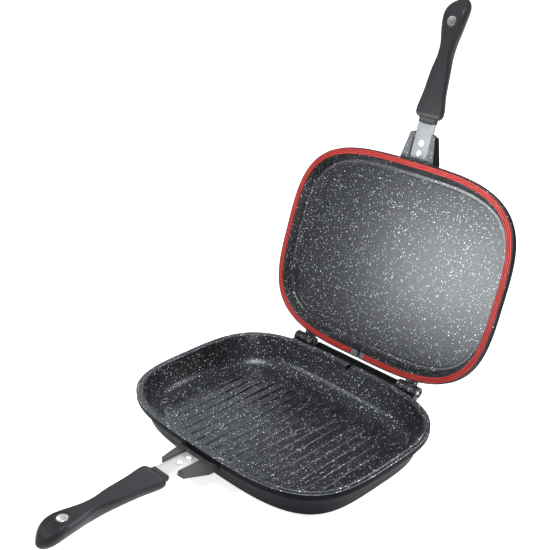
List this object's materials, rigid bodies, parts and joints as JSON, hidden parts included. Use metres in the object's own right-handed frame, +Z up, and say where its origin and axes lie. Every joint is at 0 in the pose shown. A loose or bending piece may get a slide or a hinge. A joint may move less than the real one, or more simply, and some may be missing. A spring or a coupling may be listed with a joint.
{
  "type": "double sided flip pan",
  "caption": "Double sided flip pan standing open: a deep ribbed lower pan and a shallow lid pan joined by a rear hinge, with a gasket, split handle halves and a drip tray.",
  "frame": {"origin": "centre of the lower pan's flat underside, on the surface it stands on", "axes": "+X along the hinge to the pan's right, +Y from the handles to the hinge, +Z up"},
  "size_m": [0.325, 0.6101, 0.4543],
  "materials": {
    "coating": "cast aluminium under a dark grey speckled non-stick coating",
    "silicone": "matt red silicone",
    "handle": "matt dark grey heat-resistant plastic",
    "plate": "satin steel",
    "rivet": "bright steel",
    "magnet": "plated magnet face",
    "cup": "dark steel cup",
    "screw": "zinc plated steel",
    "pin": "plain steel",
    "tray": "matt black plastic"
  },
  "bodies": {
    "lower": {"lower_pan": "coating", "hinge_pin_right": "pin", "hinge_pin_left": "pin", "lower_tang": "plate", "lower_tang_rivet_inner": "rivet", "lower_tang_rivet_outer": "rivet", "lower_handle": "handle", "lower_magnet_cup": "cup", "lower_magnet": "magnet", "lower_handle_screw": "screw"},
    "tray": {"drip_tray": "tray"},
    "lid": {"lid_pan": "coating", "lid_gasket": "silicone", "lid_tang": "plate", "lid_tang_rivet_inner": "rivet", "lid_tang_rivet_outer": "rivet", "lid_handle": "handle", "lid_magnet_cup": "cup", "lid_magnet": "magnet", "lid_handle_screw": "screw"}
  },
  "joints": [
    {"name": "lid_hinge", "type": "hinge", "parent": "lower", "child": "lid", "pos_m": [0, 0.1299, 0.03795], "axis": [1, 0, 0], "range_deg": [0, 108.7]},
    {"name": "tray_slide", "type": "slide", "parent": "lower", "child": "tray", "axis": [0, 1, 0], "range_m": [0, 0.016]}
  ]
}
